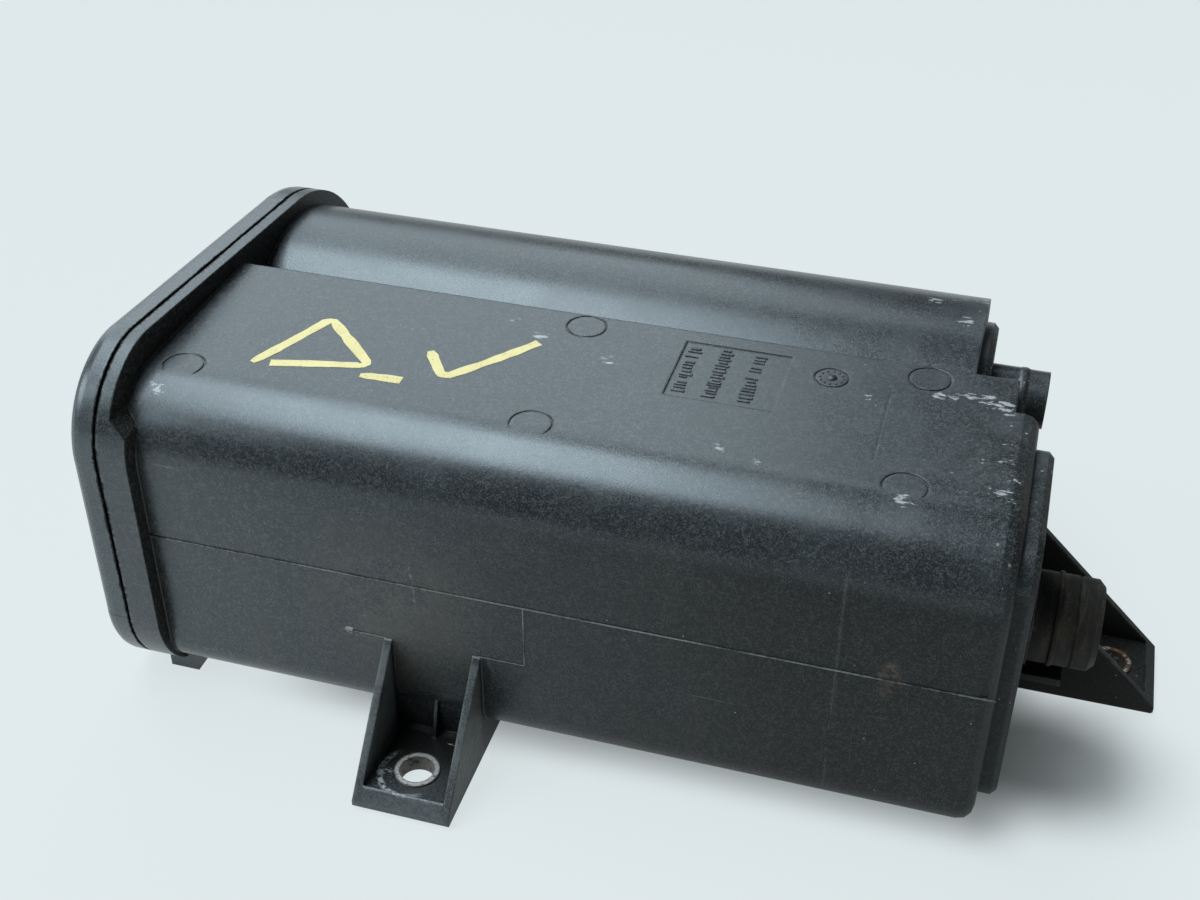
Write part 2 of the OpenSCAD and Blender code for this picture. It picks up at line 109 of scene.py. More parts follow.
class Finish:  # a material and the nodes it is made of
    names = {"colour": "Base Color", "rough": "Roughness", "metal": "Metallic", "normal": "Normal",
             "sheen": "Specular IOR Level", "tint": "Specular Tint"}

    def __init__(self, name):
        self.mat = bpy.data.materials.new(name)
        self.mat.use_nodes = True
        self.tree = self.mat.node_tree
        self.tree.nodes.clear()
        self.shader = self.tree.nodes.new("ShaderNodeBsdfPrincipled")
        self.sink = self.tree.nodes.new("ShaderNodeOutputMaterial")
        self.base = Val(self.tree, self.shader.outputs[0])
        self.show(self.base)
        self.place = self.add("ShaderNodeTexCoord", out="Object")
        self.axes = None
        self.bent = None

    def show(self, skin):  # what the piece ends up looking like
        self.plug(self.sink.inputs[0], skin)

    def plug(self, socket, value):
        if isinstance(value, Val):
            self.tree.links.new(value.out, socket)
        else:
            socket.default_value = value

    def add(self, kind, settings=None, plugs=None, out=0):  # several outputs come back as a list
        made = self.tree.nodes.new(kind)
        for key, value in (settings or {}).items():
            setattr(made, key, value)
        for key, value in (plugs or {}).items():
            self.plug(made.inputs[key], value)
        if isinstance(out, tuple):
            return [Val(self.tree, made.outputs[o]) for o in out]
        return Val(self.tree, made.outputs[out])

    def set(self, **plugs):
        for key, value in plugs.items():
            self.plug(self.shader.inputs[self.names[key]], value)

    def split(self, vector):
        return self.add("ShaderNodeSeparateXYZ", plugs={0: vector}, out=("X", "Y", "Z"))

    def xyz(self):
        if self.axes is None:
            self.axes = self.split(self.place)
        return self.axes

    def look(self):  # how far a face looks along each axis
        return self.split(self.add("ShaderNodeNewGeometry", out="Normal"))

    def stretch(self, scale, turn=(0, 0, 0)):
        return self.add("ShaderNodeMapping", plugs={"Vector": self.place, "Scale": scale, "Rotation": turn})

    def speckle(self, scale, detail=3.0, rough=0.55, place=None):
        return self.add("ShaderNodeTexNoise", plugs={"Vector": place or self.place, "Scale": scale,
                                                     "Detail": detail, "Roughness": rough})

    def cells(self, scale):
        return self.add("ShaderNodeTexVoronoi", plugs={"Vector": self.place, "Scale": scale})

    def ramp(self, value, low, high, a=0.0, b=1.0):
        return self.add("ShaderNodeMapRange", {"interpolation_type": "SMOOTHSTEP"},
                        {"Value": value, "From Min": low, "From Max": high, "To Min": a, "To Max": b})

    # ramps between two places of the drawing, in millimetres
    def pastX(self, start, end):
        return self.ramp(self.xyz()[0], alongX(start), alongX(end))

    def pastY(self, start, end, a=0.0, b=1.0):
        return self.ramp(self.xyz()[1], alongY(start), alongY(end), a, b)

    def pastZ(self, start, end):
        return self.ramp(self.xyz()[2], start * mm, end * mm)

    def blend(self, share, a, b):
        def full(colour):
            return colour if isinstance(colour, Val) else (*colour, 1.0)
        return self.add("ShaderNodeMix", {"data_type": "RGBA"}, {0: share, 6: full(a), 7: full(b)}, 2)

    def far(self, point, squash=(1, 1, 1)):  # distance from a point, with each axis weighted
        gap = self.add("ShaderNodeVectorMath", {"operation": "SUBTRACT"}, {0: self.place, 1: point})
        gap = self.add("ShaderNodeVectorMath", {"operation": "MULTIPLY"}, {0: gap, 1: squash})
        return self.add("ShaderNodeVectorMath", {"operation": "LENGTH"}, {0: gap}, "Value")

    def edges(self, reach, low, high):  # bright along edges that stand out
        closed = 1 - self.add("ShaderNodeAmbientOcclusion", {"samples": 4, "inside": True, "only_local": True},
                              {"Distance": reach}, "AO")
        return self.ramp(closed, low, high)

    def nooks(self, reach, low, high):  # bright where faces close in on each other
        closed = 1 - self.add("ShaderNodeAmbientOcclusion", {"samples": 6}, {"Distance": reach}, "AO")
        return self.ramp(closed, low, high)

    def relief(self, height, strength, depth, radius=None):
        plugs = {"Height": height, "Strength": strength, "Distance": depth}
        if radius:
            plugs["Normal"] = self.add("ShaderNodeBevel", {"samples": 4}, {"Radius": radius})
        self.bent = self.add("ShaderNodeBump", plugs=plugs)
        self.set(normal=self.bent)

    def cover(self, share, own, colour):  # a second, duller skin laid over the first
        skin = self.add("ShaderNodeBsdfPrincipled", plugs={
            "Base Color": colour, "Roughness": own["rough"], "Specular IOR Level": own["sheen"], "Normal": self.bent})
        self.show(self.add("ShaderNodeMixShader", plugs={0: share, 1: self.base, 2: skin}))


# faces that carry marks, in millimetres: height of the top, its rounding, the round lobe, the foot's seat
faces = {"top": 94.0, "round": 21.0, "lobe": (107.7, 49.7, 41.8), "seat": 4.3}
# chips and rubs: place on the face, reach, how strong
chips = {
    "top": [
        (5, 13, 2.6, 1.0), (7.5, 11.5, 3.0, 1.1), (84, 65.5, 4.0, 0.8), (79, 68.5, 4.0, 0.5), (93, 60, 4.4, 1.0),
        (113, 54, 4.6, 0.8), (149.5, 24, 3.2, 0.7), (159, 20.5, 3.6, 0.7), (169.5, 55, 3.4, 0.6),
        (180, 56, 4.0, 0.7), (186, 61, 5.0, 0.5), (194.5, 16.5, 4.4, 1.0), (197, 61.5, 3.6, 1.1),
        (200.5, 62, 3.6, 1.1), (204.5, 63.5, 3.4, 1.1), (208.5, 62.5, 5.0, 1.2), (212.5, 61, 5.4, 1.2),
        (214.5, 57.5, 3.4, 1.0), (213, 44, 6.0, 0.55), (216, 36.5, 6.0, 0.75), (217, 30, 5.4, 0.85),
        (216.5, 23.5, 5.4, 0.9)],
    "lobe": [(132, 115, 4.0, 0.6), (190, 114, 5.0, 0.9), (196.5, 117.5, 5.0, 0.7), (199.5, 104.5, 4.4, 1.0),
             (203, 119, 5.6, 0.8)],
    "wall": [(59, 34, 2.8, 1.0), (62, 34, 3.5, 0.7), (30, 50, 5.0, 0.4), (112, 76, 2.2, 0.5), (143, 18, 2.4, 0.5)],
    "seat": [(74.5, -17.5, 4.6, 0.8), (88, -3.5, 4.0, 0.6)],
}


def markPlace(face, u, v):
    if face == "wall":
        return at(u, 0, v)
    if face == "seat":
        return at(u, v, faces["seat"])
    if face == "lobe":
        middle, height, radius = faces["lobe"]
        return at(u, v, height + math.sqrt(radius ** 2 - (v - middle) ** 2))
    dip = max(0.0, faces["round"] - v)  # the top falls away along the front edge
    return at(u, v, faces["top"] - faces["round"] + math.sqrt(faces["round"] ** 2 - dip ** 2))


# housing plastic: dark satin with a sandy grain, dust, road dirt, rubs and chips, and painted shade in the nooks and
# towards the port end
housing = {
    "dark": (0.0135, 0.0165, 0.0182), "pale": (0.0243, 0.0295, 0.0328), "salt": (0.120, 0.125, 0.124),
    "shadeDark": (0.0112, 0.0104, 0.0092), "dust": (0.142, 0.152, 0.151), "earth": (0.094, 0.078, 0.059),
    "mud": (0.150, 0.118, 0.088), "rub": (0.55, 0.57, 0.57), "shadeAndSeamBlack": (0.0062, 0.0060, 0.0055),
    "rough": 0.30, "sheen": 1.0, "tint": (0.82, 0.93, 1.0), "grain": 2600.0, "grainDepth": 0.13, "edge": 0.8,
    "dirty": 1.0,  # dust and dirt as a whole
    # how strongly each coat shows; a pair adds its second number towards the port end or the floor
    "much": {"shadeTowardsPort": 0.75, "sand": 0.72, "dust": (0.10, 0.18), "speck": (0.05, 0.14), "run": (0.10, 0.22),
             "splash": 0.22, "foot": (0.38, 0.5), "nookShadeAndSeam": 0.9, "rim": 0.13, "hair": 0.16, "fleck": 0.42,
             "peck": 0.55, "chip": 0.8, "line": 0.42, "ring": 0.9},
    # where they lie, in millimetres of the drawing
    # film: where the painted shade towards the port end runs, and the duller skin laid over it
    "film": {"span": (-25.0, 200.0), "drift": 50.0, "share": 0.94, "rough": 0.55, "sheen": 0.20},
    "lowPortShade": {"x": (222, 227), "z": (50, 60)}, "portEnd": (178, 224), "low": (0, 45), "wall": (2, 1),
    "foot": {"x": (40, 44), "y": (-0.5, -2.5), "z": (32, 36), "middle": 82.1, "half": (11.2, 9.8),
             "lip": (-25.2, -24.6), "deep": (-24, -6), "black": (-20, -4)},
    "flat": {"x": (6, 10), "z": (93.0, 93.5)}, "nookShadeAndSeam": 8.0, "rim": 1.0,
    "seam": {"x": -3.95, "half": (0.9, 0.5), "wobble": (1.4, 1.2)},
    "line": {"x": (9, 10), "y": (-0.05, -0.12), "deep": (-0.5, -0.38), "z": (33.0, 33.6)},
    "scores": [{"x": 78.4, "z": (46.0, 61.0), "lean": 0.06, "much": 0.50, "broken": 0.70},
               {"x": 184.9, "z": (12.0, 84.0), "lean": 0.0, "much": 0.05, "broken": 0.62}],
    "score": {"half": (0.50, 0.15), "fade": 4.0, "wobble": 1.0},
    "stains": [(197.5, 54, 5.0, 0.5), (197.5, 57.5, 2.4, 0.5), (197, 49.5, 3.0, 0.35), (72, 45, 34.0, 0.30)],
    "washer": {"middle": (81.0, -16.4), "radius": 8.3, "half": (1.1, 0.2), "z": (5.2, 5.8), "worn": (-1.0, 5.0)},
}


class HousingFinish(Finish):
    def __init__(self, name, own, marks):
        super().__init__(name)
        self.own = own
        self.much = own["much"]
        self.x, self.y, self.z = self.xyz()
        self.away, self.front, self.up = self.look()
        self.cloud = self.speckle(14.0, 4.0)
        self.blot = self.speckle(55.0, 5.0, 0.6)
        self.pepper = self.speckle(900.0, 2.0)
        self.grain = self.speckle(own["grain"], 2.0, 0.6)
        self.patchy = self.ramp(self.blot + self.pepper * 0.5, 0.55, 0.95)
        self.portEnd = self.pastX(*own["portEnd"])
        self.level = self.ramp(self.up, 0.15, 0.95)
        self.wallFace = self.ramp(self.front, -0.8, -0.95) * self.pastY(*own["wall"])
        self.bareSkin()
        self.settledDust()
        self.dirtRuns()
        self.footDust()
        self.layNookShadeAndSeam()
        self.rubs()
        self.chipped(marks)
        self.lineFlash()
        self.wallScores()
        self.smears()
        self.washerRing()
        self.gloss()

    def lay(self, share, coat):  # one of the housing's colours over what is there
        self.colour = self.blend(share, self.colour, self.own[coat])

    def bareSkin(self):  # moulded colour with a sandy grain; painted shade darkens the walls towards the port end, the low port end and faces looking towards it
        own, much = self.own, self.much
        drift = self.x + (self.blot - 0.5) * own["film"]["drift"] * mm
        # painted shade: the standing walls grow darker towards the port end, away from the lamps
        self.shadeTowardsPort = self.ramp(drift, *map(alongX, own["film"]["span"])) * (1 - self.ramp(self.up, 0.1, 0.55))
        # painted shade low on the port end
        self.lowPortShade = self.pastX(*own["lowPortShade"]["x"]) * (1 - self.pastZ(*own["lowPortShade"]["z"]))
        self.colour = self.blend(self.ramp(self.cloud + self.blot * 0.5, 0.55, 1.0), own["dark"], own["pale"])
        # painted shade laid in the dark colour, also on faces looking towards the port end
        self.lay(self.shadeTowardsPort * much["shadeTowardsPort"] | self.lowPortShade | self.ramp(self.away, 0.06, 0.45), "shadeDark")
        sand = self.ramp(self.grain + self.pepper * 0.45, 0.66, 0.95)
        self.lay(sand * (much["sand"] - self.shadeTowardsPort * 0.42) * (1 - self.lowPortShade * 0.7), "salt")

    def settledDust(self):  # on what looks up, thicker towards the port end
        dust, speck = self.much["dust"], self.much["speck"]
        soft = self.ramp(self.blot, 0.42, 0.8) * (dust[0] + dust[1] * self.portEnd)
        specks = self.ramp(self.pepper, 0.60, 0.78) * (speck[0] + speck[1] * self.portEnd)
        self.dust = self.level * (soft + specks) * self.own["dirty"]
        self.lay(self.dust, "dust")

    def dirtRuns(self):  # dried dirt on the standing walls and round the feet
        streak = self.speckle(1.0, 4.0, 0.6, self.stretch((90.0, 90.0, 9.0)))
        wall = 1 - self.ramp(abs(self.up), 0.2, 0.7)
        low = 1 - self.pastZ(*self.own["low"])
        run = self.much["run"]
        dirtAndShade = wall * self.ramp(streak, 0.52, 0.8) * (run[0] + run[1] * low)
        dirtAndShade = dirtAndShade + low * self.ramp(self.blot, 0.5, 0.75) * self.much["splash"]
        self.lay(dirtAndShade * self.own["dirty"] * (1 - self.lowPortShade * 0.8), "earth")

    def footDust(self):  # the front foot stands out under the wall and is the dustiest; painted shade darkens its channel towards the wall
        foot, much = self.own["foot"], self.much["foot"]
        step = self.pastY(*foot["y"]) * (1 - self.pastZ(*foot["z"])) * self.pastX(*foot["x"])
        aside = abs(self.x - alongX(foot["middle"]))
        self.hollow = step * self.ramp(aside, *(h * mm for h in foot["half"])) * self.pastY(*foot["lip"])
        self.lay(step * (much[0] + self.patchy * much[1]) * (1 - self.hollow * 0.68), "dust")
        # painted shade: the foot's channel darkens towards the wall
        self.lay(self.hollow * self.pastY(*foot["deep"], 0.15, 0.9), "shadeAndSeamBlack")

    def layNookShadeAndSeam(self):  # painted shade in the nooks and deep in the front foot, and the black weld squeezed out along the seam
        own = self.own
        flatTop = self.pastZ(*own["flat"]["z"]) * self.pastX(*own["flat"]["x"])
        # painted shade where faces close in on each other, kept off the flat top
        nookShadeAndSeam = self.nooks(own["nookShadeAndSeam"] * mm, 0.32, 0.74) * (1 - flatTop * 0.85)
        fine, broad = own["seam"]["wobble"]
        ragged = abs(self.x - alongX(own["seam"]["x"])) + (self.pepper - 0.5) * fine * mm
        ragged = ragged + (self.blot - 0.5) * broad * mm
        seam = self.ramp(ragged, *(h * mm for h in own["seam"]["half"]))
        self.nookShadeAndSeam = nookShadeAndSeam | seam | self.hollow * self.pastY(*own["foot"]["black"]) * 0.8
        self.lay(self.nookShadeAndSeam * self.much["nookShadeAndSeam"], "shadeAndSeamBlack")

    def rubs(self):  # rubbed edges, hairline scratches, pale flecks, and pecks at the port end
        much = self.much
        self.lay(self.edges(self.own["rim"] * mm, 0.15, 0.45) * self.patchy * much["rim"], "rub")
        along = self.speckle(1.0, 2.0, 0.5, self.stretch((35.0, 1500.0, 1500.0), (0, 0, 0.35)))
        across = self.speckle(1.0, 2.0, 0.5, self.stretch((1300.0, 40.0, 1300.0), (0, 0, -0.2)))
        handled = self.ramp(self.cloud, 0.45, 0.6)
        self.lay(self.ramp(along | across, 0.70, 0.80) * handled * much["hair"], "rub")
        self.lay(self.ramp(self.cells(210.0), 0.060, 0.035) * handled * much["fleck"], "rub")
        peck = self.ramp(self.cells(330.0), 0.16, 0.09) * self.ramp(self.blot + self.portEnd * 0.16, 0.60, 0.68)
        self.lay(peck * self.portEnd * self.level * much["peck"], "rub")

    def chipped(self, marks):  # where something struck
        hit = None
        for face, struck in marks.items():
            for u, v, reach, much in struck:
                near = self.ramp(self.far(markPlace(face, u, v)), reach * 0.2 * mm, reach * mm, much, 0.0)
                hit = near if hit is None else hit | near
        if hit is not None:
            torn = self.speckle(1.0, 4.0, 0.65, self.stretch((360.0, 1050.0, 900.0)))
            chip = self.ramp(torn + hit * 0.28, 0.76, 0.83) * self.ramp(hit, 0.02, 0.2)
            self.lay(chip * self.much["chip"], "rub")

    def lineFlash(self):  # whitish flash on the moulded lines of the front wall
        line = self.own["line"]
        flashed = self.pastY(*line["y"]) * self.pastY(*line["deep"]) * self.pastZ(*line["z"]) * self.pastX(*line["x"])
        self.lay(flashed * self.ramp(self.blot + self.pepper * 0.5, 0.5, 0.9) * self.much["line"], "rub")

    def wallScores(self):  # upright scores on the front wall
        half, fade, wobble = (self.own["score"][k] for k in ("half", "fade", "wobble"))
        for score in self.own["scores"]:
            foot, head = score["z"]
            lean = (self.z - foot * mm) * score["lean"]
            aside = abs(self.x - alongX(score["x"]) + lean + (self.pepper - 0.5) * wobble * mm)
            cut = self.ramp(aside, *(h * mm for h in half)) * self.pastZ(foot, foot + fade)
            cut = cut * (1 - self.pastZ(head - fade, head)) * self.wallFace
            broken = self.ramp(self.blot + self.pepper * 0.6, score["broken"], score["broken"] + 0.25)
            self.lay(cut * broken * score["much"], "rub")

    def smears(self):  # brown smears on the front wall
        patchy = self.ramp(self.blot + self.pepper * 0.6, 0.55, 0.95)
        for u, v, reach, much in self.own["stains"]:
            smear = self.ramp(self.far(markPlace("wall", u, v)), reach * mm, reach * 0.2 * mm)
            self.lay(smear * patchy * self.wallFace * much, "mud")

    def washerRing(self):  # ring worn into the front foot's seat by a washer
        washer = self.own["washer"]
        seat = at(*washer["middle"], 0)
        aside = abs(self.far(seat, (1, 1, 0)) - washer["radius"] * mm)
        worn = self.ramp((seat.x - self.x) * 0.75 + (seat.y - self.y) * 0.65, *(w * mm for w in washer["worn"]))
        ring = self.ramp(aside, *(h * mm for h in washer["half"])) * (1 - self.pastZ(*washer["z"])) * worn
        self.lay(ring * self.ramp(self.pepper + self.blot * 0.4, 0.52, 0.72) * self.much["ring"], "rub")

    def gloss(self):  # satin with a fine grain; a duller skin lies over the nooks, the low port end, the walls towards the port end and faces looking that way
        own, film = self.own, self.own["film"]
        rough = own["rough"] + (self.cloud - 0.5) * 0.12 + (self.grain - 0.5) * 0.22
        rough = rough + (self.blot - 0.5) * 0.10 + self.dust * 0.25
        self.set(colour=self.colour, rough=rough.clip(), tint=(*own["tint"], 1.0), sheen=own["sheen"])
        self.relief(self.grain * 0.85 + self.pepper * 0.15, 0.18, own["grainDepth"] * mm, own["edge"] * mm)
        dull = (self.shadeTowardsPort | self.ramp(self.away, 0.10, 0.5)) * film["share"]
        self.cover((self.nookShadeAndSeam | dull | self.lowPortShade).clip(), film, self.colour)


housingPlastic = HousingFinish("housingPlastic", housing, chips)
# the lid is a lighter copy of the housing plastic, a painted highlight that brightens the whole lid
lidOwn = dict(housing, dark=(0.036, 0.042, 0.045), pale=(0.056, 0.065, 0.069), rough=0.28, dirty=0.8)
lidPlastic = HousingFinish("lidPlastic", lidOwn, {})
print("housing finishes made")


# bare steel of the sleeves, dulled and rusting, with painted shade, brown and not metal, in the bore and around the
# outer rim
sleeve = {
    "steel": (0.86, 0.86, 0.85), "dull": (0.56, 0.54, 0.51), "rust": (0.12, 0.055, 0.022),
    "dirtAndShade": (0.045, 0.036, 0.028), "rough": 0.50, "bore": (4.75, 4.58), "rim": (5.55, 5.80), "wobble": 0.8,
    "front": {"middle": (82.1, -15.4), "rusty": -0.04}, "end": {"middle": (253.4, 78.5), "rusty": 0.16},
}


def sleeveFinish(name, own):
    f = Finish(name)
    blot = f.speckle(420.0, 5.0, 0.65)
    fine = f.speckle(2600.0, 3.0)
    pits = f.ramp(f.cells(1500.0), 0.18, 0.05)
    rust = (f.ramp(blot + fine * 0.25 + own["rusty"], 0.62, 0.80) | pits * 0.5).clip()
    colour = f.blend(f.ramp(fine, 0.35, 0.7), sleeve["steel"], sleeve["dull"])
    colour = f.blend(rust, colour, sleeve["rust"])
    out = f.far(at(*own["middle"], 0), (1, 1, 0)) + (blot - 0.5) * sleeve["wobble"] * mm
    # painted shade in the bore and around the outer rim
    dirtAndShade = f.ramp(out, *(r * mm for r in sleeve["bore"])) | f.ramp(out, *(r * mm for r in sleeve["rim"]))
    colour = f.blend(dirtAndShade * 0.85, colour, sleeve["dirtAndShade"])
    f.set(colour=colour, metal=((1 - rust) * (1 - dirtAndShade)).clip(),
          rough=(sleeve["rough"] + rust * 0.45 + (fine - 0.5) * 0.3).clip())
    f.relief(fine * 0.5 + rust, 0.4, 0.12 * mm, 0.3 * mm)
    return f


# vent boot rubber: dull, browned by road dust
boot = {"rubber": (0.0105, 0.0098, 0.0086), "worn": (0.023, 0.021, 0.0172), "dust": (0.090, 0.074, 0.052),
        "rough": 0.70, "sheen": 0.30}


def bootFinish():
    f = Finish("bootRubber")
    up = f.look()[2]
    blot = f.speckle(120.0, 5.0, 0.6)
    fine = f.speckle(1400.0, 3.0)
    run = f.speckle(1.0, 4.0, 0.6, f.stretch((420.0, 90.0, 90.0)))
    colour = f.blend(f.ramp(blot, 0.4, 0.7), boot["rubber"], boot["worn"])
    dust = f.ramp(run + fine * 0.4, 0.62, 0.95) * f.ramp(up, -0.6, 0.9, 0.30, 0.85)
    f.set(colour=f.blend(dust, colour, boot["dust"]), rough=(boot["rough"] + (fine - 0.5) * 0.2).clip(),
          sheen=boot["sheen"])
    f.relief(fine + blot * 0.5, 0.4, 0.18 * mm, 0.4 * mm)
    return f


# what lies inside: carbon, fleece, plates, springs
inner = {"carbon": (0.010, 0.010, 0.011), "carbonLit": (0.034, 0.034, 0.036), "fleece": (0.62, 0.60, 0.54),
         "fleeceShade": (0.42, 0.40, 0.35), "plate": (0.060, 0.062, 0.064), "plateLit": (0.094, 0.097, 0.100),
         "wire": (0.52, 0.51, 0.50), "wireDull": (0.30, 0.29, 0.28)}


def carbonFinish():
    f = Finish("carbonPellets")
    pellet = f.cells(420.0)
    fine = f.speckle(2200.0)
    f.set(colour=f.blend(f.ramp(pellet + fine * 0.3, 0.3, 0.9), inner["carbonLit"], inner["carbon"]),
          rough=f.ramp(fine, 0.3, 0.7, 0.7, 0.95))
    f.relief(1 - pellet, 0.9, 0.8 * mm)
    return f


def fleeceFinish():
    f = Finish("fleecePad")
    hair = f.speckle(1.0, 4.0, 0.7, f.stretch((2400.0, 500.0, 900.0)))
    blot = f.speckle(90.0)
    f.set(colour=f.blend(f.ramp(hair * 0.7 + blot * 0.3, 0.35, 0.65), inner["fleeceShade"], inner["fleece"]),
          rough=f.ramp(hair, 0.3, 0.7, 0.85, 0.97))
    f.relief(hair, 0.6, 0.4 * mm)
    return f


def plateFinish():
    f = Finish("platePlastic")
    fine = f.speckle(1600.0)
    blot = f.speckle(60.0)
    f.set(colour=f.blend(f.ramp(blot + fine * 0.2, 0.4, 0.8), inner["plate"], inner["plateLit"]),
          rough=f.ramp(fine, 0.3, 0.7, 0.45, 0.6))
    f.relief(fine, 0.25, 0.1 * mm, 0.3 * mm)
    return f


def wireFinish():
    f = Finish("springWire")
    drawn = f.speckle(1.0, 3.0, 0.6, f.stretch((3000.0, 700.0, 700.0)))
    blot = f.speckle(300.0)
    f.set(colour=f.blend(f.ramp(drawn + blot * 0.3, 0.45, 0.8), inner["wire"], inner["wireDull"]), metal=1.0,
          rough=f.ramp(drawn, 0.3, 0.7, 0.28, 0.45))
    f.relief(drawn, 0.2, 0.06 * mm)
    return f


wear = {
    "canister_body": housingPlastic, "end_lid": lidPlastic,
    "front_foot_sleeve": sleeveFinish("frontSleeveSteel", sleeve["front"]),
    "end_foot_sleeve": sleeveFinish("endSleeveSteel", sleeve["end"]),
    "vent_boot": bootFinish(), "main_carbon": carbonFinish(), "main_port_fleece": fleeceFinish(),
    "main_plate": plateFinish(), "main_spring_low": wireFinish(),
}
same = {
    "rear_carbon": "main_carbon", "main_lid_fleece": "main_port_fleece", "rear_port_fleece": "main_port_fleece",
    "rear_lid_fleece": "main_port_fleece", "rear_plate": "main_plate", "main_spring_high": "main_spring_low",
    "rear_spring": "main_spring_low",
}
for name, piece in nodes.items():
    finish = wear[same.get(name, name)]
    for held in piece.material_slots:
        held.link = "OBJECT"
        held.material = finish.mat
print("nodes dressed")


def stand(name, data):
    thing = bpy.data.objects.new(name, data)
    bpy.context.scene.collection.objects.link(thing)
    return thing


def meshThing(name, bm, finish):
    mesh = bpy.data.meshes.new(name)
    bm.to_mesh(mesh)
    bm.free()
    mesh.materials.append(finish.mat)
    return stand(name, mesh)


def newPiece(name, bm, finish, smooth=False):
    piece = meshThing(name, bm, finish)
    for face in piece.data.polygons:
        face.use_smooth = smooth
    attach(piece, "root")


def vertsOf(geom):
    return [g for g in geom if isinstance(g, bmesh.types.BMVert)]


def edgesOf(geom):
    return [g for g in geom if isinstance(g, bmesh.types.BMEdge)]


# ragged flash squeezed out of the weld, all the way round between flange and lid
# rounds: middle and radius of the lid's three rounded corners, seen from its end
flash = {"rounds": [(21.6, 75.9, 26.0), (107.7, 49.7, 46.2), (21.6, 26.0, 26.0)], "x": -3.95, "half": 0.36,
         "under": 0.80, "step": 0.9, "ragged": 0.95, "tear": (0.42, 0.7), "fray": (1.3, 0.6), "sway": (0.9, 0.22),
         "seed": 4.7, "dark": (0.0035, 0.0036, 0.0036), "pale": (0.006, 0.006, 0.006), "rough": 0.66, "dirty": 0.25}


def weldFlash():
    bm = bmesh.new()
    rounds = flash["rounds"]
    lean = []  # which way each straight run looks
    for i in range(3):
        a, b = rounds[i], rounds[(i + 1) % 3]
        gap = math.hypot(b[0] - a[0], b[1] - a[1])
        lean.append(math.atan2(b[1] - a[1], b[0] - a[0]) + math.acos((a[2] - b[2]) / gap))

    def onRim(i, turn):
        y, z, radius = rounds[i]
        reach = radius - flash["under"]
        return at(flash["x"], y + reach * math.cos(turn), z + reach * math.sin(turn))

    # a small square loop at the start of the first run
    spin = Matrix.Rotation(lean[0], 4, "X") @ Matrix.Rotation(math.radians(90), 4, "X")
    spot = Matrix.Translation(onRim(0, lean[0])) @ spin @ Matrix.Rotation(math.radians(45), 4, "Z")
    corner = flash["half"] * mm * 1.414  # from half a side to half a diagonal
    loop = bmesh.ops.create_circle(bm, segments=4, radius=corner, matrix=spot)["verts"]
    edges = list(dict.fromkeys(e for v in loop for e in v.link_edges))
    for i in range(3):
        j = (i + 1) % 3
        way = onRim(j, lean[i]) - onRim(i, lean[i])
        count = max(2, round(way.length / mm / flash["step"]))
        for k in range(count):
            grown = bmesh.ops.extrude_edge_only(bm, edges=edges)["geom"]
            loop = vertsOf(grown)
            edges = [e for e in edgesOf(grown) if e.verts[0] in loop and e.verts[1] in loop]
            bmesh.ops.translate(bm, verts=loop, vec=way / count)
        y, z, radius = rounds[j]
        sweep = (lean[i] - lean[j]) % math.tau
        turned = bmesh.ops.spin(bm, geom=loop + edges, cent=at(flash["x"], y, z), axis=(1, 0, 0), angle=-sweep,
                                steps=max(3, round(sweep * radius / flash["step"])), use_duplicate=False)["geom_last"]
        loop, edges = vertsOf(turned), edgesOf(turned)
    bmesh.ops.remove_doubles(bm, verts=bm.verts, dist=0.05 * mm)
    bmesh.ops.recalc_face_normals(bm, faces=bm.faces)
    # tear the outer edge unevenly
    tear, fray, sway = flash["tear"], flash["fray"], flash["sway"]
    for v in bm.verts:
        p = v.co / mm
        spokes = [Vector((0, p.y - drawing["wallY"] / mm - y, p.z - z)) for y, z, radius in rounds]
        nearest = min(range(3), key=lambda n: abs(spokes[n].length - rounds[n][2]))
        torn = noise.noise(Vector((p.x * 2.0, p.y * tear[0], p.z * tear[0] + flash["seed"])))
        frayed = noise.noise(Vector((p.x * 3.0 + 9.0, p.y * fray[0], p.z * fray[0])))
        swayed = noise.noise(Vector((p.y * sway[0], p.z * sway[0], p.x + 3.0)))
        v.co += spokes[nearest].normalized() * mm * flash["ragged"] * (tear[1] * torn + fray[1] * frayed)
        v.co.x += sway[1] * mm * swayed
        v.co = Vector(max(low, min(high, place)) for low, high, place in zip(cadBox[0], cadBox[1], v.co))
    return bm


weldOwn = dict(housing, dark=flash["dark"], pale=flash["pale"], rough=flash["rough"], dirty=flash["dirty"])
newPiece("weld_flash", weldFlash(), HousingFinish("weldPlastic", weldOwn, {}), True)
print("weld flash laid")

# a sign drawn by hand in paint pen: triangle, dash and tick
# each step of a stroke is a length and a turn in degrees
sign = {
    "colour": (0.98, 0.86, 0.42), "thin": (0.80, 0.68, 0.29), "width": 2.9, "least": 0.86, "vary": 0.26,
    "tip": 0.55, "thick": 0.10, "z": 93.97, "seed": 11,
    "strokes": [
        {"from": (26.0, 27.0), "heading": 65,
         "steps": [(2.6, 0.4)] * 10 + [(1.1, -38)] * 3 + [(2.4, 0)] * 9 + [(1.1, -41)] * 3 + [(2.5, 0.3)] * 9},
        {"from": (55.0, 29.0), "heading": 8, "steps": [(2.2, -1.5)] * 5},
        {"from": (68.0, 45.0), "heading": -58, "steps": [(2.2, 0.5)] * 5 + [(1.0, 26)] * 4 + [(2.6, 0.6)] * 10},
    ],
}


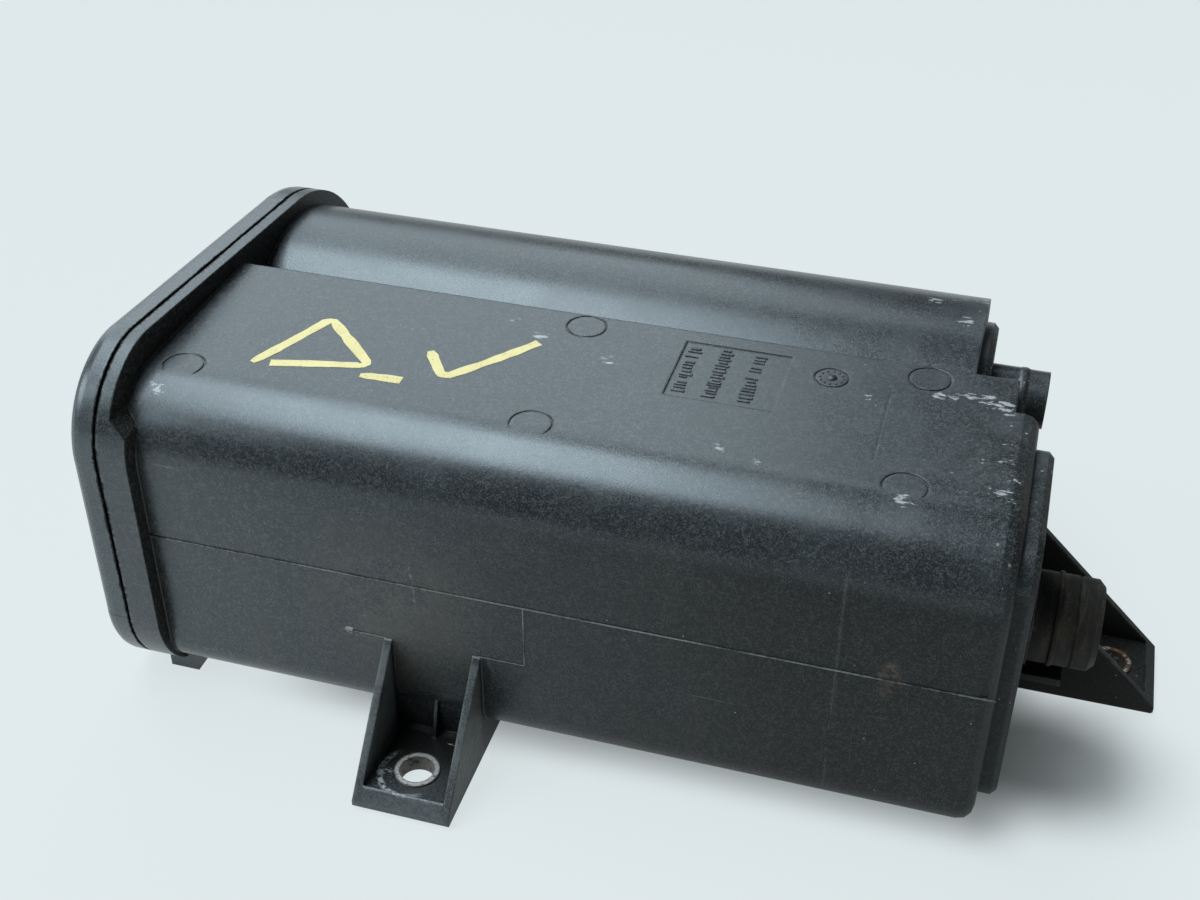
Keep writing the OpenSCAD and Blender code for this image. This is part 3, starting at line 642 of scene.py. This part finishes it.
def paintSign():
    bm = bmesh.new()
    dice = random.Random(sign["seed"])
    width = sign["width"] * mm
    for stroke in sign["strokes"]:
        here = at(*stroke["from"], sign["z"])
        heading = math.radians(stroke["heading"])
        side = Vector((-math.sin(heading), math.cos(heading), 0)) * width / 2 * sign["tip"]
        ends = [bmesh.ops.create_vert(bm, co=here + side * s)["vert"][0] for s in (-1, 1)]
        edge = bm.edges.new(ends)
        for run, turn in stroke["steps"]:
            ends = vertsOf(bmesh.ops.extrude_edge_only(bm, edges=[edge])["geom"])
            edge = next(e for e in ends[0].link_edges if ends[1] in e.verts)
            heading += math.radians(turn)
            ahead = Vector((math.cos(heading), math.sin(heading), 0)) * run * mm
            middle = (ends[0].co + ends[1].co) / 2 + ahead
            bmesh.ops.translate(bm, verts=ends, vec=ahead)
            bmesh.ops.rotate(bm, verts=ends, cent=middle, matrix=Matrix.Rotation(math.radians(turn), 3, "Z"))
            wide = width * (sign["least"] + sign["vary"] * dice.random())
            wide = wide / max((ends[0].co - ends[1].co).length, 1e-6)
            for v in ends:
                v.co = middle + (v.co - middle) * wide
    bmesh.ops.recalc_face_normals(bm, faces=bm.faces)
    for face in bm.faces:
        if face.normal.z < 0:
            face.normal_flip()
    bmesh.ops.solidify(bm, geom=bm.faces[:], thickness=-sign["thick"] * mm)
    bmesh.ops.recalc_face_normals(bm, faces=bm.faces)
    return bm


def signFinish():
    f = Finish("paintPen")
    blot = f.speckle(160.0, 4.0)
    grain = f.speckle(1500.0, 2.0)
    worn = f.ramp(grain + blot * 0.3, 0.74, 0.90)
    colour = f.blend(f.ramp(blot, 0.35, 0.7) * 0.35, sign["colour"], sign["thin"])
    colour = f.blend(worn * 0.45, colour, housing["pale"])
    f.set(colour=colour, rough=f.ramp(grain, 0.3, 0.7, 0.5, 0.68))
    f.relief(grain, 0.35, 0.14 * mm)
    return f


newPiece("paint_sign", paintSign(), signFinish())
print("paint sign drawn")

# plain raised bars in the recess on the top and dots on the round dial; a pair is a least size and what chance adds
label = {"columns": (133.4, 141.6, 150.4), "span": (44.6, 67.0), "bar": 0.62, "barVary": (0.7, 0.9), "gap": 0.62,
         "gapVary": (0.8, 0.6), "long": (2.2, 1.6), "skip": 0.14, "shift": 0.5, "high": 0.26, "sunk": 0.03,
         "floor": 93.7, "soft": 0.06, "seed": 5}
dial = {"centre": (169.8, 62.0), "top": 94.0, "ring": 3.0, "dots": 12, "dot": 0.42, "flat": 0.6,
        "hub": (1.5, 1.275), "hubHigh": 0.24, "hubLift": 0.08}


def labelBars():
    bm = bmesh.new()
    dice = random.Random(label["seed"])

    def chance(least, more):
        return least + dice.random() * more

    z = label["floor"] + label["high"] / 2 - label["sunk"]
    for column in label["columns"]:
        y = chance(label["span"][0], 1.0)
        while y < label["span"][1]:
            wide = label["bar"] * chance(*label["barVary"])
            long = chance(*label["long"])
            if dice.random() > label["skip"]:
                spot = Matrix.Translation(at(chance(column, label["shift"]), y + wide / 2, z))
                bmesh.ops.create_cube(bm, size=mm, matrix=spot @ Matrix.Diagonal((long, wide, label["high"], 1)))
            y += wide + label["gap"] * chance(*label["gapVary"])
    bmesh.ops.bevel(bm, geom=bm.edges[:], offset=label["soft"] * mm, affect="EDGES", segments=1, profile=0.5,
                    material=-1)
    return bm


def dialDots():
    bm = bmesh.new()
    x, y = dial["centre"]
    for i in range(dial["dots"]):
        turn = math.tau * i / dial["dots"]
        spot = at(x + dial["ring"] * math.cos(turn), y + dial["ring"] * math.sin(turn), dial["top"])
        bmesh.ops.create_icosphere(bm, subdivisions=2, radius=dial["dot"] * mm,
                                   matrix=Matrix.Translation(spot) @ Matrix.Diagonal((1, 1, dial["flat"], 1)))
    low, high = (r * mm for r in dial["hub"])
    bmesh.ops.create_cone(bm, cap_ends=True, segments=32, radius1=low, radius2=high, depth=dial["hubHigh"] * mm,
                          matrix=Matrix.Translation(at(x, y, dial["top"] + dial["hubLift"])))
    return bm


newPiece("label_bars", labelBars(), housingPlastic)
newPiece("dial_dots", dialDots(), housingPlastic, True)
print("moulded marks set")

# floor and world; the floor shows more of its glow away from the port end and from under the front wall
studio = {
    "half": 12.0, "drop": 0.4, "paper": (0.80, 0.81, 0.79), "rough": 0.85, "sheen": 0.12,
    "lean": (-1.0, 0.45, 0.80, 1.22),  # the paper is a little darker where the lamps are nearest
    "glow": (0.745, 0.815, 0.828), "share": 0.87,
    "portShade": {"at": (236.0, 40.0, 0.0), "squash": (0.75, 1.25, 0.0), "reach": (10.0, 42.0), "share": 0.08},
    "wallShade": {"x": (20, 60), "xEnd": (222, 240), "y": (-3, 15), "yEnd": (60, 90), "much": 0.6},
    "world": (0.085, 0.10, 0.105),
}


def floorFinish():
    f = Finish("floorPaper")
    x, y = f.xyz()[:2]
    tone = f.ramp(x - y, *studio["lean"]) + (f.speckle(40.0, 2.0) - 0.5) * 0.02
    paper = f.add("ShaderNodeVectorMath", {"operation": "SCALE"}, {0: studio["paper"], "Scale": tone})
    f.set(colour=paper, rough=studio["rough"], sheen=studio["sheen"])
    glow = f.add("ShaderNodeEmission", plugs={"Color": (*studio["glow"], 1.0), "Strength": 1.0})
    port, wall = studio["portShade"], studio["wallShade"]
    near, clear = (r * mm for r in port["reach"])
    share = f.ramp(f.far(at(*port["at"]), port["squash"]), near, clear, port["share"], studio["share"])
    along = f.pastX(*wall["x"]) * (1 - f.pastX(*wall["xEnd"]))
    under = f.pastY(*wall["y"]) * (1 - f.pastY(*wall["yEnd"]))
    share = share * (1 - along * under * wall["much"])
    rays = ("Is Camera Ray", "Is Glossy Ray", "Is Transmission Ray")
    seen, mirrored, through = f.add("ShaderNodeLightPath", out=rays)
    f.show(f.add("ShaderNodeMixShader", plugs={0: (seen | mirrored | through) * share, 1: f.base, 2: glow}))
    return f


bm = bmesh.new()
bmesh.ops.create_grid(bm, x_segments=1, y_segments=1, size=studio["half"],
                      matrix=Matrix.Translation((0, 0, -studio["drop"] * mm)))
floor = meshThing("floor", bm, floorFinish())

world = bpy.data.worlds.new("studio")
bpy.context.scene.world = world
world.use_nodes = True
world.node_tree.nodes["Background"].inputs["Color"].default_value = (*studio["world"], 1.0)

lamps = {
    "overLamp": {"at": (-0.80, -0.06, 2.25), "aim": (0.0, 0.0, 0.05), "size": (2.0, 0.95), "watts": 39.0,
                 "tint": (0.86, 0.95, 1.0)},
    "backLamp": {"at": (-1.04, 1.58, 1.52), "aim": (0.0, 0.0, 0.08), "size": (2.0, 1.80), "watts": 20.0,
                 "tint": (0.84, 0.95, 1.0)},
    "lowLamp": {"at": (-1.65, 1.40, 0.42), "aim": (0.0, 0.0, 0.08), "size": (1.6, 0.70), "watts": 2.8,
                "tint": (0.86, 0.95, 1.0)},
    "sideLamp": {"at": (-1.75, -0.95, 1.30), "aim": (0.0, -0.05, 0.05), "size": (1.1, 1.0), "watts": 18.0,
                 "tint": (0.84, 0.95, 1.0)},
}
for name, own in lamps.items():
    data = bpy.data.lights.new(name, "AREA")
    data.shape = "RECTANGLE"
    data.size, data.size_y = own["size"]
    data.energy = own["watts"]
    data.color = own["tint"]
    lamp = stand(name, data)
    lamp.location = own["at"]
    lamp.rotation_mode = "QUATERNION"
    lamp.rotation_quaternion = (Vector(own["aim"]) - Vector(own["at"])).to_track_quat("-Z", "Y")

# camera, fitted to the picture
shot = {"eye": (0.08329, -0.350236, 0.316781), "azimuth": 16.21, "elevation": 35.296, "roll": 0.208,
        "lens": 48.805, "sensor": 36.0, "clip": (0.01, 60.0)}
azimuth, elevation, roll = (math.radians(shot[k]) for k in ("azimuth", "elevation", "roll"))
level = math.cos(elevation)
ahead = Vector((-math.sin(azimuth) * level, math.cos(azimuth) * level, -math.sin(elevation)))
right = Vector((math.cos(azimuth), math.sin(azimuth), 0.0))
over = right.cross(ahead)
across = right * math.cos(roll) + over * math.sin(roll)
upward = over * math.cos(roll) - right * math.sin(roll)
lens = bpy.data.cameras.new("camera")
lens.lens = shot["lens"]
lens.sensor_width = shot["sensor"]
lens.sensor_fit = "HORIZONTAL"
lens.clip_start, lens.clip_end = shot["clip"]
camera = stand("camera", lens)
turned = Matrix((across, upward, -ahead)).transposed().to_4x4()
camera.matrix_world = Matrix.Translation(shot["eye"]) @ turned
bpy.context.scene.camera = camera
bpy.context.scene.view_settings.view_transform = "Standard"
print("floor, lamps and camera set")
